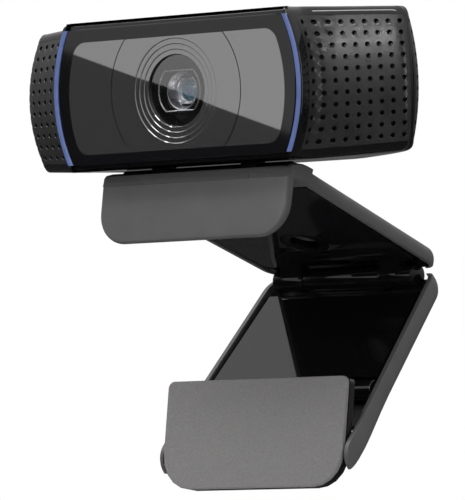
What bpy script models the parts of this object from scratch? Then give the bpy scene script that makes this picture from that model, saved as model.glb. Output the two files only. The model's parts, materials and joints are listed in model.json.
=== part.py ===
"""Clip-on webcam: a wide camera head that tilts on a folding monitor clip.

World frame in metres, +Z up, +X to the right, the lens looks along -Y.  The
origin is on the clip's underside, the face that rests on top of a monitor.
Three working frames hold the design: the head's own (parallel to the world),
the clip's (tipped back by CLIP_SLOPE) and the leg's (along the folding leg).
"""
import math

import bmesh
import bpy
from mathutils import Matrix, Vector

MM = 0.001

# Driving dimensions, in millimetres and degrees
GAP = 0.3                  # clearance between touching pieces
HEAD_HALF_WIDTH = 47.0
HEAD_HEIGHT = 28.8
HEAD_MID_Z = 26.3          # height of the lens axis
HEAD_FRONT_Y = -29.4       # front of the raised middle of the head
HEAD_SPLIT_Y = -16.2       # seam between front and rear shell
HEAD_REAR_Y = -6.6
BEZEL_HALF_WIDTH = 30.8    # raised middle of the head
WING_ROOT_Y = -24.2        # microphone wings start behind the middle's face
WING_SWEEP = math.radians(20)
WING_SPAN = 15.0
SHELL_WALL = 1.4
CLIP_SLOPE = math.radians(-21)
ARM_THICK = 3.5
ARM_FRONT_S = -24.5
ARM_REAR_S = 25.6
ARM_HALF_FRONT = 23.2
ARM_HALF_REAR = 19.8
FLAP_DROP = 12.4
FLAP_THICK = 2.5
FLAP_HOOK = math.radians(10)
TILT_S, TILT_T = -22.5, 1.9        # head tilt axis in the clip's frame
HINGE_S, HINGE_T = 24.0, -1.9      # leg hinge axis in the clip's frame
KNUCKLE_RADIUS = 2.3
KNUCKLE_SPLIT = 9.8
KNUCKLE_END = 14.8
LEG_DROP = math.radians(44.5)      # leg direction below the horizontal
LEG_RIM_V = -0.5
LEG_BACK_V = -5.6
LEG_HALF_TOP = 20.1
LEG_HALF_LOW = 23.2
LEG_WALL = 1.2
FOOT_U, FOOT_V = 45.3, -4.7        # foot hinge axis in the leg's frame
FOOT_LEAN = math.radians(10)
FOOT_HALF = 22.1
FOOT_UP, FOOT_DOWN = 15.9, 5.4
PAD_THICK, PLATE_THICK = 1.1, 1.4
PAD_FACE = 3.7                     # pad face in front of the foot's axis

COLOURS = {
    "gloss": ((0.006, 0.006, 0.007), 0.08, 0.0),
    "satin": ((0.085, 0.084, 0.084), 0.42, 0.0),
    "grille": ((0.040, 0.040, 0.042), 0.55, 0.0),
    "window": ((0.03, 0.03, 0.032), 0.12, 0.0),
    "light": ((0.10, 0.17, 0.42), 0.35, 0.0),
    "rubber": ((0.14, 0.135, 0.135), 0.85, 0.0),
    "steel": ((0.55, 0.55, 0.56), 0.30, 1.0),
    "glass": ((0.02, 0.05, 0.07), 0.02, 0.0),
    "board": ((0.02, 0.12, 0.05), 0.60, 0.0),
}


def new_collection(name):
    collection = bpy.data.collections.new(name)
    bpy.context.scene.collection.children.link(collection)
    return collection


def make_materials():
    made = {}
    for name, (colour, roughness, metallic) in COLOURS.items():
        material = bpy.data.materials.new(name)
        material.use_nodes = True
        shader = material.node_tree.nodes["Principled BSDF"]
        shader.inputs["Base Color"].default_value = (*colour, 1.0)
        shader.inputs["Roughness"].default_value = roughness
        shader.inputs["Metallic"].default_value = metallic
        made[name] = material
    return made


for old in list(bpy.data.objects):
    bpy.data.objects.remove(old, do_unlink=True)
PARTS = new_collection("clip_on_webcam")
CUTTERS = new_collection("cutters")
MATERIALS = make_materials()


# Frames: each gives the world matrix of a working frame, in metres
def frame_at(y, z, angle):
    return Matrix.Translation((0, y * MM, z * MM)) @ Matrix.Rotation(angle, 4, "X")


HEAD = Matrix.Identity(4)
CLIP = frame_at(0, 0, CLIP_SLOPE)


def clip_point(s, t):
    """World Y and Z, in millimetres, of a point in the clip's frame."""
    point = CLIP @ Vector((0, s * MM, t * MM))
    return point.y / MM, point.z / MM


TILT_Y, TILT_Z = clip_point(TILT_S, TILT_T)
HINGE_Y, HINGE_Z = clip_point(HINGE_S, HINGE_T)
# In the leg's frame +Y runs up the leg, so u (down the leg) is -Y, and v is +Z
LEG = frame_at(HINGE_Y, HINGE_Z, LEG_DROP)
FOOT_AXIS = LEG @ Vector((0, -FOOT_U * MM, FOOT_V * MM))
# In the foot's frame the pad faces -Y and +Z runs up the pad
FOOT = Matrix.Translation(FOOT_AXIS) @ Matrix.Rotation(-FOOT_LEAN, 4, "X")


def finish(obj, name, look, frame, cutter):
    """Name a shape, place it in its frame, and file it as a part or a cutter."""
    obj.name = name
    obj.data.name = name
    obj.data.transform(frame)
    for holder in list(obj.users_collection):
        holder.objects.unlink(obj)
    if cutter:
        CUTTERS.objects.link(obj)
        obj.hide_render = True
        obj.display_type = "WIRE"
    else:
        PARTS.objects.link(obj)
        obj.data.materials.append(MATERIALS[look])
    return obj


def from_bmesh(mesh_data):
    mesh = bpy.data.meshes.new("shape")
    mesh_data.to_mesh(mesh)
    mesh_data.free()
    obj = bpy.data.objects.new("shape", mesh)
    bpy.context.scene.collection.objects.link(obj)
    return obj


def face_outward(data):
    """Turn every face of a closed shape outward."""
    bmesh.ops.recalc_face_normals(data, faces=data.faces)
    if data.calc_volume(signed=True) < 0:
        bmesh.ops.reverse_faces(data, faces=data.faces)


def block(name, low, high, look="gloss", frame=HEAD, cutter=False):
    """A box between two corners, in millimetres."""
    data = bmesh.new()
    bmesh.ops.create_cube(data, size=1.0)
    size = [(b - a) * MM for a, b in zip(low, high)]
    middle = [(a + b) / 2 * MM for a, b in zip(low, high)]
    bmesh.ops.scale(data, vec=size, verts=data.verts)
    bmesh.ops.translate(data, vec=middle, verts=data.verts)
    return finish(from_bmesh(data), name, look, frame, cutter)


def rod(name, centre, radius, length, axis="X", look="gloss", frame=HEAD, cutter=False,
        sides=32):
    """A cylinder along X, Y or Z about its middle point."""
    data = bmesh.new()
    bmesh.ops.create_cone(data, cap_ends=True, segments=sides, radius1=radius * MM,
                          radius2=radius * MM, depth=length * MM)
    turn = {"X": Matrix.Rotation(math.pi / 2, 4, "Y"),
            "Y": Matrix.Rotation(-math.pi / 2, 4, "X"),
            "Z": Matrix.Identity(4)}[axis]
    bmesh.ops.transform(data, matrix=turn, verts=data.verts)
    bmesh.ops.translate(data, vec=[c * MM for c in centre], verts=data.verts)
    return finish(from_bmesh(data), name, look, frame, cutter)


def plate(name, outline, low, high, plane="XY", look="gloss", frame=HEAD, cutter=False):
    """A flat outline given thickness.

    plane names the two axes of the outline; low and high bound the third.
    """
    curve = bpy.data.curves.new(name, "CURVE")
    curve.dimensions = "2D"
    curve.fill_mode = "BOTH"
    curve.extrude = (high - low) / 2 * MM
    spline = curve.splines.new("POLY")
    spline.points.add(len(outline) - 1)
    for point, (a, b) in zip(spline.points, outline):
        point.co = (a * MM, b * MM, 0, 1)
    spline.use_cyclic_u = True
    holder = bpy.data.objects.new(name, curve)
    bpy.context.scene.collection.objects.link(holder)
    graph = bpy.context.evaluated_depsgraph_get()
    mesh = bpy.data.meshes.new_from_object(holder.evaluated_get(graph))
    bpy.data.objects.remove(holder, do_unlink=True)
    bpy.data.curves.remove(curve)
    data = bmesh.new()
    data.from_mesh(mesh)
    bpy.data.meshes.remove(mesh)
    bmesh.ops.remove_doubles(data, verts=data.verts, dist=1e-6)
    bmesh.ops.translate(data, vec=(0, 0, (low + high) / 2 * MM), verts=data.verts)
    order = {"XY": (0, 1, 2), "XZ": (0, 2, 1), "YZ": (2, 0, 1)}[plane]
    for vert in data.verts:
        local = vert.co.copy()
        vert.co = Vector([local[axis] for axis in order])
    face_outward(data)
    return finish(from_bmesh(data), name, look, frame, cutter)


def soften(obj, width, segments=2, angle=40):
    bevel = obj.modifiers.new("soften", "BEVEL")
    bevel.width = width * MM
    bevel.segments = segments
    bevel.limit_method = "ANGLE"
    bevel.angle_limit = math.radians(angle)
    return obj


def combine(obj, other, operation):
    boolean = obj.modifiers.new(operation.lower(), "BOOLEAN")
    boolean.operation = operation
    boolean.object = other
    return obj


def cut(obj, *cutters):
    for cutter in cutters:
        combine(obj, cutter, "DIFFERENCE")
    return obj


def join(obj, *others):
    for other in others:
        combine(obj, other, "UNION")
    return obj


def arc(centre, radius, start, stop, steps=5):
    """Points of an arc, angles in degrees."""
    points = []
    for step in range(steps + 1):
        angle = math.radians(start + (stop - start) * step / steps)
        points.append((centre[0] + radius * math.cos(angle), centre[1] + radius * math.sin(angle)))
    return points


def rounded_rectangle(half, low, high, radius_low, radius_high):
    """Outline symmetric in X, with its own corner radius below and above."""
    points = arc((half - radius_low, low + radius_low), radius_low, -90, 0)
    points += arc((half - radius_high, high - radius_high), radius_high, 0, 90)
    points += arc((-half + radius_high, high - radius_high), radius_high, 90, 180)
    points += arc((-half + radius_low, low + radius_low), radius_low, 180, 270)
    return points


def mirrored(half_outline):
    """Close a right-hand outline, listed from front to back, about X = 0."""
    return half_outline + [(-x, y) for x, y in reversed(half_outline)]


def turned(name, profile, look, frame=HEAD, centre=(0, 0), steps=48):
    """A ring turned about the lens axis.

    profile is a closed loop of (radius, y) points, outer side listed from
    front to back; centre is the axis's X and Z.
    """
    data = bmesh.new()
    verts = [data.verts.new((radius * MM, 0, -y * MM)) for radius, y in profile]
    for first, second in zip(verts, verts[1:] + verts[:1]):
        data.edges.new((first, second))
    obj = from_bmesh(data)
    screw = obj.modifiers.new("turn", "SCREW")
    screw.axis = "Z"
    screw.steps = steps
    screw.render_steps = steps
    screw.use_merge_vertices = True
    screw.merge_threshold = 0.00001
    screw.use_normal_calculate = True
    graph = bpy.context.evaluated_depsgraph_get()
    mesh = bpy.data.meshes.new_from_object(obj.evaluated_get(graph))
    bpy.data.objects.remove(obj, do_unlink=True)
    data = bmesh.new()
    data.from_mesh(mesh)
    bpy.data.meshes.remove(mesh)
    bmesh.ops.remove_doubles(data, verts=data.verts, dist=1e-6)
    bmesh.ops.rotate(data, matrix=Matrix.Rotation(math.pi / 2, 3, "X"), verts=data.verts)
    bmesh.ops.translate(data, vec=(centre[0] * MM, 0, centre[1] * MM), verts=data.verts)
    face_outward(data)
    return finish(from_bmesh(data), name, look, frame, False)


def narrow_ends(obj):
    """Lower the head toward its ends, where it is six percent less tall."""
    data = bmesh.new()
    data.from_mesh(obj.data)
    for side in (-1, 1):
        bmesh.ops.bisect_plane(data, geom=data.verts[:] + data.edges[:] + data.faces[:], dist=1e-6,
                               plane_co=(side * BEZEL_HALF_WIDTH * MM, 0, 0), plane_no=(1, 0, 0))
    data.to_mesh(obj.data)
    data.free()
    for vert in obj.data.vertices:
        beyond = max(0.0, abs(vert.co.x) / MM - BEZEL_HALF_WIDTH)
        share = 1 - 0.06 * beyond / (HEAD_HALF_WIDTH - BEZEL_HALF_WIDTH)
        vert.co.z = HEAD_MID_Z * MM + (vert.co.z - HEAD_MID_Z * MM) * share
    return obj


def clipped_disc(radius, half_height, steps=10):
    """Front view of a disc cut off flat above and below the lens axis."""
    limit = math.degrees(math.asin(half_height / radius))
    return (arc((0, HEAD_MID_Z), radius, -limit, limit, steps)
            + arc((0, HEAD_MID_Z), radius, 180 - limit, 180 + limit, steps))


# ---- Head ----
HALF_HEIGHT = HEAD_HEIGHT / 2
HEAD_LOW, HEAD_HIGH = HEAD_MID_Z - HALF_HEIGHT, HEAD_MID_Z + HALF_HEIGHT
WING_END_Y = WING_ROOT_Y + WING_SPAN * math.tan(WING_SWEEP)


def wing_line(x):
    return WING_ROOT_Y + (x - BEZEL_HALF_WIDTH) * math.tan(WING_SWEEP)


def make_front_shell():
    edge_x = BEZEL_HALF_WIDTH + WING_SPAN
    corner = [(edge_x, WING_END_Y), (edge_x + 0.8, WING_END_Y + 0.8), (HEAD_HALF_WIDTH, WING_END_Y + 2.2)]
    outer = mirrored([(BEZEL_HALF_WIDTH, WING_ROOT_Y)] + corner + [(HEAD_HALF_WIDTH, HEAD_SPLIT_Y)])
    shell = narrow_ends(plate("front_shell", outer, HEAD_LOW, HEAD_HIGH, look="gloss"))
    middle = plate("front_shell_middle", clipped_disc(BEZEL_HALF_WIDTH, HALF_HEIGHT - 0.02),
                   HEAD_FRONT_Y, WING_ROOT_Y + 2, plane="XZ", cutter=True)
    join(shell, middle)
    wall = SHELL_WALL
    inner_edge = edge_x - 0.4
    inner = mirrored([(28.0, wing_line(28.0) + wall), (inner_edge, wing_line(inner_edge) + wall),
                      (HEAD_HALF_WIDTH - wall, WING_END_Y + 3.2), (HEAD_HALF_WIDTH - wall, HEAD_SPLIT_Y + 1)])
    hollow = narrow_ends(plate("front_hollow", inner, HEAD_LOW + wall, HEAD_HIGH - wall, cutter=True))
    throat = plate("front_throat", rounded_rectangle(26.4, HEAD_LOW + 2.6, HEAD_HIGH - 2.6, 3, 3),
                   HEAD_FRONT_Y - 1, WING_ROOT_Y + 4, plane="XZ", cutter=True)
    recess = plate("window_recess", clipped_disc(29.25, HALF_HEIGHT - 0.9),
                   HEAD_FRONT_Y - 1, HEAD_FRONT_Y + 1.75, plane="XZ", cutter=True)
    cut(shell, hollow, throat, recess)
    for side in (-1, 1):
        cut(shell, light_bar_shape("light_groove", side, GAP, cutter=True))
        cut(shell, grille_shape("grille_opening", side, GAP, cutter=True))
    return shell


def light_bar_shape(name, side, grow, cutter=False):
    """The curved light bar beside the window, or the groove that it sits in."""
    outer, inner = 30.3 + grow * 0.5, 29.4 - grow
    limit = math.degrees(math.asin(12.9 / 30.3)) + grow
    middle = 0 if side > 0 else 180
    points = arc((0, HEAD_MID_Z), outer, middle - limit, middle + limit, 12)
    points += arc((0, HEAD_MID_Z), inner, middle + limit, middle - limit, 12)
    depth = 1.6 + grow
    return plate(name, points, HEAD_FRONT_Y - (1 if cutter else -0.05), HEAD_FRONT_Y + depth,
                 plane="XZ", look="light", cutter=cutter)


def grille_shape(name, side, grow, cutter=False):
    """The perforated wing panel, or the opening that it fills."""
    root, end = 32.6 - grow, 45.2 + grow
    thick = 1.0
    front = 1.0 if cutter else 0.05
    outline = [(side * root, wing_line(root) - (front if cutter else -front)),
               (side * end, wing_line(end) - (front if cutter else -front)),
               (side * end, wing_line(end) + thick + (3 if cutter else 0)),
               (side * root, wing_line(root) + thick + (3 if cutter else 0))]
    reach = HALF_HEIGHT - 1.6 + grow
    shape = plate(name, outline, HEAD_MID_Z - reach, HEAD_MID_Z + reach, look="grille", cutter=cutter)
    return narrow_ends(shape)


def make_rear_shell():
    start = HEAD_SPLIT_Y + GAP
    outer = mirrored([(HEAD_HALF_WIDTH, start), (46.6, -13.2), (45.0, -10.0), (41.6, -7.6), (36.0, HEAD_REAR_Y)])
    shell = narrow_ends(plate("rear_shell", outer, HEAD_LOW, HEAD_HIGH, look="gloss"))
    soften(shell, 1.2)
    wall = SHELL_WALL
    inner = mirrored([(HEAD_HALF_WIDTH - wall, start - 1), (45.0, -13.4), (43.4, -11.0), (40.6, -9.0),
                      (35.4, HEAD_REAR_Y - wall)])
    hollow = narrow_ends(plate("rear_hollow", inner, HEAD_LOW + wall, HEAD_HIGH - wall, cutter=True))
    cut(shell, hollow)
    cut(shell, rod("gland_hole", (0, HEAD_REAR_Y, HEAD_MID_Z), 3.0 + GAP, 6, axis="Y", cutter=True))
    return shell


def make_lens():
    z = HEAD_MID_Z
    face = HEAD_FRONT_Y + 0.6
    window = plate("window_cover", clipped_disc(28.8, HALF_HEIGHT - 1.2), face, face + 0.9,
                   plane="XZ", look="window")
    cut(window, rod("window_hole", (0, face, z), 10.0 + GAP, 6, axis="Y", cutter=True, sides=48))
    turned("lens_surround", [(10.0, face), (10.0, face + 3.8), (7.0, face + 3.8), (7.0, face + 1.2),
                             (7.9, face + 0.8), (9.0, face + 0.4)], "gloss", centre=(0, z))
    turned("lens_barrel", [(6.7, face + 1.6), (6.7, face + 9.0), (4.6, face + 9.0), (4.6, face + 5.4),
                           (6.2, face + 5.2)], "gloss", centre=(0, z))
    turned("lens_ring", [(6.0, face + 4.2), (6.0, face + 4.9), (3.6, face + 4.9), (3.6, face + 4.4)],
           "steel", centre=(0, z))
    glass = rod("lens_front_element", (0, face + 4.9, z), 3.3, 1.2, axis="Y", look="glass", sides=40)
    soften(glass, 0.3)
    rod("lens_rear_element", (0, face + 7.2, z), 4.2, 1.4, axis="Y", look="glass", sides=32)
    block("focus_motor", (-7.5, face + 9.3, z - 7.5), (7.5, face + 11.8, z + 7.5), "steel")
    cut(bpy.data.objects["focus_motor"], rod("motor_bore", (0, face + 10, z), 4.0, 6, axis="Y", cutter=True))
    block("image_sensor", (-4.5, face + 12.1, z - 4.0), (4.5, face + 13.0, z + 4.0), "glass")


def make_electronics():
    z = HEAD_MID_Z
    board_y = HEAD_FRONT_Y + 14.0
    block("main_board", (-26, board_y, z - 11), (26, board_y + 1.2, z + 11), "board")
    block("image_processor", (8, board_y + 1.5, z - 5), (18, board_y + 2.7, z + 5), "gloss")
    block("usb_connector", (-6, board_y + 1.5, z - 9.6), (6, board_y + 4.4, z - 5.4), "rubber")
    for side, word in ((-1, "left"), (1, "right")):
        x = side * 38.5
        rod(word + "_microphone", (x, wing_line(38.5) + 4.2, z), 3.0, 2.6, axis="Y", look="steel")
        block(word + "_microphone_board", (x - 4.5, -15.4, z - 4.5), (x + 4.5, -14.4, z + 4.5), "board")
        block(word + "_light_board", (min(side * 27.4, side * 28.8), HEAD_FRONT_Y + 6.2, z - 7),
              (max(side * 27.4, side * 28.8), HEAD_FRONT_Y + 11.4, z + 7), "board")


def make_cable_gland():
    y = HEAD_REAR_Y
    turned("cable_gland", [(3.0, y - 3.0), (3.0, y + 0.9), (1.9, y + 1.9), (1.6, y + 1.9), (1.6, y - 3.0)],
           "rubber", centre=(0, HEAD_MID_Z))


# ---- Clip: the arm that rests on the monitor, with its front lip ----
def arm_half(s):
    share = (s - ARM_FRONT_S) / (ARM_REAR_S - ARM_FRONT_S)
    return ARM_HALF_FRONT + (ARM_HALF_REAR - ARM_HALF_FRONT) * share


def arm_outline(inset, start, stop, corner):
    half = arm_half(stop) - inset
    rear = arc((half - corner, stop - corner), corner, 0, 90, 4)
    return mirrored([(arm_half(start) - inset, start)] + rear)


def hinge_slots(grow):
    """Pockets in the arm for the head's two hinge lugs."""
    made = []
    for side in (-1, 1):
        made.append(block("lug_slot", (side * 11 - 2 - grow, TILT_S - 3.2, TILT_T - 1.75),
                          (side * 11 + 2 + grow, TILT_S + 2.4, TILT_T + 4), frame=CLIP, cutter=True))
    return made


def make_clip():
    shell = plate("clip_shell", arm_outline(0, TILT_S - 1.0, ARM_REAR_S, 3.0), 0, ARM_THICK,
                  look="satin", frame=CLIP)
    nose = plate("clip_nose", [(-26.6, -0.6), (-26.6, 2.0), (-24.6, 3.0), (-21.4, ARM_THICK - 0.01),
                               (-21.4, 0.01), (-24.0, 0.01), (-24.2, -0.6)],
                 -ARM_HALF_FRONT + 0.02, ARM_HALF_FRONT - 0.02, plane="YZ", frame=CLIP, cutter=True)
    flap_frame = CLIP @ Matrix.Translation((0, -26.6 * MM, 0.4 * MM)) @ Matrix.Rotation(FLAP_HOOK, 4, "X")
    flap = plate("clip_flap", rounded_rectangle(ARM_HALF_FRONT - 0.05, -FLAP_DROP, 0.6, 6.0, 0.2),
                 0.01, FLAP_THICK, plane="XZ", frame=flap_frame, cutter=True)
    join(shell, nose, flap)
    cut(shell, *hinge_slots(GAP))
    cut(shell, rod("tilt_bore", (0, TILT_S, TILT_T), 0.8 + GAP * 0.5, 34, frame=CLIP, cutter=True, sides=24))
    panel_room = plate("panel_room", arm_outline(1.2, -19.0, ARM_REAR_S - 1.2, 2.4), -1, 1.5,
                       frame=CLIP, cutter=True)
    cut(shell, panel_room)
    cut(shell, rod("insert_room", (0, 9.0, 0), 4.6 + GAP, 5.6, axis="Z", frame=CLIP, cutter=True))
    cut(shell, block("knuckle_room", (-KNUCKLE_END - 0.6, HINGE_S - 3.2, -6), (KNUCKLE_END + 0.6, 29, 1.3),
                     frame=CLIP, cutter=True))
    return flap_frame


def make_clip_panel():
    panel = plate("clip_underside", arm_outline(1.5, -18.7, ARM_REAR_S - 4.5, 1.5), 0, 1.2,
                  look="gloss", frame=CLIP)
    for side in (-1, 1):
        low, high = sorted((side * KNUCKLE_SPLIT, side * KNUCKLE_END))
        ear = arc((HINGE_S, HINGE_T), KNUCKLE_RADIUS, 80, -170, 14) + [(19.8, 0.4), (19.8, 0.9)]
        join(panel, plate("knuckle", ear, low, high, plane="YZ", frame=CLIP, cutter=True))
    cut(panel, rod("leg_pin_bore", (0, HINGE_S, HINGE_T), 0.8 + GAP, 40, frame=CLIP, cutter=True, sides=20))
    cut(panel, rod("insert_hole", (0, 9.0, 0), 4.6 + GAP, 8, axis="Z", frame=CLIP, cutter=True))


def make_clip_hardware(flap_frame):
    insert = rod("tripod_insert", (0, 9.0, 1.35), 4.6, 2.5, axis="Z", look="steel", frame=CLIP)
    cut(insert, rod("thread_bore", (0, 9.0, 0), 3.1, 9, axis="Z", frame=CLIP, cutter=True, sides=24))
    rod("tilt_pin", (0, TILT_S, TILT_T), 0.8, 33, look="steel", frame=CLIP, sides=20)
    rod("leg_hinge_pin", (0, HINGE_S, HINGE_T), 0.8, 28.8, look="steel", frame=CLIP, sides=20)
    plate("flap_pad", rounded_rectangle(ARM_HALF_FRONT - 2.2, -FLAP_DROP + 1.6, -1.5, 4.6, 1.0),
          FLAP_THICK + GAP, FLAP_THICK + 1.1, plane="XZ", look="rubber", frame=flap_frame)


# ---- Tilt bracket: carries the head on the clip ----
def make_tilt_bracket():
    z = HEAD_LOW + SHELL_WALL + GAP
    bracket = block("tilt_bracket", (-15, TILT_Y - 1.5, z), (15, TILT_Y + 4.4, z + 1.6), "steel")
    for side in (-1, 1):
        low, high = sorted((side * 9, side * 13))
        neck = block("lug_neck", (low, TILT_Y - 1.3, TILT_Z), (high, TILT_Y + 1.3, z + 0.8), cutter=True)
        eye = rod("lug_eye", ((low + high) / 2, TILT_Y, TILT_Z), 1.55, high - low - 0.02, cutter=True, sides=24)
        join(bracket, neck, eye)
        slot = block("neck_slot", (low - GAP, TILT_Y - 1.3 - GAP, HEAD_LOW - 1),
                     (high + GAP, TILT_Y + 1.3 + GAP, HEAD_LOW + SHELL_WALL + 1), cutter=True)
        cut(bpy.data.objects["front_shell"], slot)
        cut(bpy.data.objects["rear_shell"], slot)
    cut(bracket, rod("eye_bore", (0, TILT_Y, TILT_Z), 0.8 + GAP, 40, cutter=True, sides=20))
    for side, word in ((-1, "left"), (1, "right")):
        head = rod("bracket_screw_" + word, (side * 5, TILT_Y + 0.5, z + 2.5), 1.7, 1.2, axis="Z",
                   look="steel", sides=20)
        soften(head, 0.2)


# ---- Leg ----
def leg_half(u):
    return LEG_HALF_TOP + (LEG_HALF_LOW - LEG_HALF_TOP) * min(1.0, max(0.0, u) / 40.0)


def make_leg():
    outer = mirrored([(leg_half(-1.4) - 1.2, 1.4), (leg_half(0), 0.2), (leg_half(40), -40),
                      (leg_half(44), -45.0), (leg_half(44) - 0.6, -46.8), (leg_half(44) - 1.6, -47.8)])
    shell = plate("leg_shell", outer, LEG_BACK_V, LEG_RIM_V, look="satin", frame=LEG)
    soften(shell, 1.6, segments=3, angle=60)
    wall = LEG_WALL
    room = mirrored([(leg_half(0) - wall, 4.0), (leg_half(0) - wall, 0.2), (leg_half(40) - wall, -40),
                     (leg_half(44) - wall, -45), (leg_half(44) - wall, -52)])
    cut(shell, plate("leg_room", room, LEG_BACK_V + 1.3, 3.0, frame=LEG, cutter=True))
    tip = FOOT_HALF + GAP
    cut(shell, block("tip_opening", (-tip, -60, -12), (tip, -36.5, 3), frame=LEG, cutter=True))
    cut(shell, rod("foot_pin_bore", (0, -FOOT_U, FOOT_V), 0.55 + GAP * 0.5, 60, frame=LEG, cutter=True,
                   sides=20))
    return shell


def make_leg_panel():
    inset = LEG_WALL + 0.55
    top_u, low_u = 3.2, 26.6
    outline = mirrored([(leg_half(top_u) - inset, -top_u), (leg_half(low_u) - inset, -low_u)])
    panel = plate("leg_panel", outline, -2.0, -0.9, look="gloss", frame=LEG)
    half = KNUCKLE_SPLIT - GAP
    tongue = arc((0, 0), KNUCKLE_RADIUS, -60, 200, 14) + [(-4.6, -1.1), (-4.6, -1.8)]
    join(panel, plate("leg_tongue", tongue, -half, half, plane="YZ", frame=LEG, cutter=True))
    cut(panel, rod("leg_bore", (0, 0, 0), 0.8 + GAP, 40, frame=LEG, cutter=True, sides=20))
    for side in (-1, 1):
        rib = block("leg_rib", (side * 12 - 0.8, -25.0, LEG_BACK_V + 1.3 + GAP), (side * 12 + 0.8, -6.0, -1.5),
                    frame=LEG, cutter=True)
        join(panel, rib)
    bar_half = leg_half(29.3) - LEG_WALL - GAP
    rod("leg_crossbar", (0, -29.3, -1.95), 2.0, 2 * bar_half, look="gloss", frame=LEG)


# ---- Foot ----
def make_foot():
    face = -PAD_FACE
    back = face + PAD_THICK
    plate("foot_pad", rounded_rectangle(FOOT_HALF, -FOOT_DOWN, FOOT_UP, 7.0, 1.4),
          face, back, plane="XZ", look="rubber", frame=FOOT)
    body = plate("foot_plate", rounded_rectangle(FOOT_HALF, -FOOT_DOWN, FOOT_UP, 7.0, 1.4),
                 back + GAP * 0.5, back + GAP * 0.5 + PLATE_THICK, plane="XZ", look="satin", frame=FOOT)
    boss = rod("foot_boss", (0, 0, 0), 1.7, 2 * 17.5, frame=FOOT, cutter=True)
    seat = block("foot_seat", (-17.4, -1.2, -1.5), (17.4, 0, 1.5), frame=FOOT, cutter=True)
    join(body, seat, boss)
    cut(body, rod("foot_bore", (0, 0, 0), 0.55 + GAP, 60, frame=FOOT, cutter=True, sides=20))
    rod("foot_hinge_pin", (0, -FOOT_U, FOOT_V), 0.55, 2 * (leg_half(44) - 0.5), look="steel", frame=LEG, sides=20)


def main():
    make_front_shell()
    make_rear_shell()
    for side, word in ((-1, "left"), (1, "right")):
        light_bar_shape(word + "_light_bar", side, 0.0)
        grille_shape(word + "_microphone_grille", side, 0.0)
    make_lens()
    make_electronics()
    make_cable_gland()
    flap_frame = make_clip()
    make_clip_panel()
    make_clip_hardware(flap_frame)
    make_tilt_bracket()
    make_leg()
    make_leg_panel()
    make_foot()


main()
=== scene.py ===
"""Looks of the clip-on webcam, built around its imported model.  Metres, +Z up."""
import json
import math

import bmesh
import bpy
from mathutils import Matrix, Vector


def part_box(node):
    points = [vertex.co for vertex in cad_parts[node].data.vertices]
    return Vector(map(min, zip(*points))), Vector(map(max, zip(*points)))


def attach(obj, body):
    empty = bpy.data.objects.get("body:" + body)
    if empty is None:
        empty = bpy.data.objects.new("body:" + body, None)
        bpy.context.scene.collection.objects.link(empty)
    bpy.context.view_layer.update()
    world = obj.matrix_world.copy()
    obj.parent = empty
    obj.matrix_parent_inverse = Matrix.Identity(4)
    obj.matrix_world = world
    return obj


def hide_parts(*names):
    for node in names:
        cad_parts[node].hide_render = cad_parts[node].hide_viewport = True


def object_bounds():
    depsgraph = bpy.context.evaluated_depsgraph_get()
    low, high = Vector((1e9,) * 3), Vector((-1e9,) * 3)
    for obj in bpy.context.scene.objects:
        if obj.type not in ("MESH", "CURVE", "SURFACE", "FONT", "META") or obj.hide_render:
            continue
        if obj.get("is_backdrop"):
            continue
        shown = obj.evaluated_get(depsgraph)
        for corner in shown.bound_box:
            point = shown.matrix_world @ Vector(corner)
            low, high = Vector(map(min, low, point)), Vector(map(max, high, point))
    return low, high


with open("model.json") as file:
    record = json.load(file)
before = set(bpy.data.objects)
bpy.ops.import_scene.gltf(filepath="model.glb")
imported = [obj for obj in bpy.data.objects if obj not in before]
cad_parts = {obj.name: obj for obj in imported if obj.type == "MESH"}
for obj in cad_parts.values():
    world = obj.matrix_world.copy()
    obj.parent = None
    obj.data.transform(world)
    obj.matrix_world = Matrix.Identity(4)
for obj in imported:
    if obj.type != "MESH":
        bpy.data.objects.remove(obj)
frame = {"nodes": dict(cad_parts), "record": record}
CAD_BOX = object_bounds()
MM = 0.001

# ---- Places read from the frame, in millimetres ----
HEAD_LOW, HEAD_HIGH = (Vector(corner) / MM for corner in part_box("front_shell"))
MID_Z = (HEAD_LOW.z + HEAD_HIGH.z) / 2
HALF_HEIGHT = (HEAD_HIGH.z - HEAD_LOW.z) / 2
HALF_WIDTH = HEAD_HIGH.x
FRONT_Y = HEAD_LOW.y
SPLIT_Y = HEAD_HIGH.y
REAR_LOW, REAR_HIGH = (Vector(corner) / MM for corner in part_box("rear_shell"))
REAR_Y = REAR_HIGH.y
JOINTS = {joint["name"]: joint for joint in frame["record"]["behaviour"]["joints"]}
HINGE = Vector(JOINTS["leg_hinge"]["pos_m"]) / MM
TILT_AXIS = Vector(JOINTS["head_tilt"]["pos_m"]) / MM

# ---- Sizes of the design, in millimetres ----
BEZEL_RADIUS = 30.8          # the raised middle is a disc about the lens, cut off above and below
WING_ROOT_Y = -24.2
WING_SWEEP = math.radians(20)
TAPER = 0.06                 # how much lower the head is at its ends
EDGE_ROUND = 1.1
CORNER_RADIUS = 2.2
CROWN = 1.8                  # how far the wings lean back above and below
WINDOW_THICK = 1.0
WINDOW_RADIUS = 29.3
WINDOW_HALF = 13.1
PRINT_RADIUS = 26.6          # the printed panel's side edges are arcs about the lens
PRINT_HALF = 10.85
PRINT_DROP = 0.35            # the panel sits a little below the middle of the window
PRINT_CORNER = 2.0
SEAM_RADIUS = 16.0
CUP_RADIUS = 6.95
STEP_RADII = (7.9, 8.95, 10.0)    # the window steps down to the lens cup in rings
STEP_DEPTH = 0.09
HOUSING_RADIUS = 5.3         # the lens housing is round with a flat above and below
HOUSING_FLAT = 4.0
STRIP_HALF = 12.7            # half height of the matte wing strip at the bezel
HOLE_PITCH = 2.26
HOLE_ROWS = 11
HOLE_RADIUS = 0.47
CLIP_SLOPE = math.radians(-21)
LEG_DROP = math.radians(44.5)
FORWARD = Vector((0, -1, 0))
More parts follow.
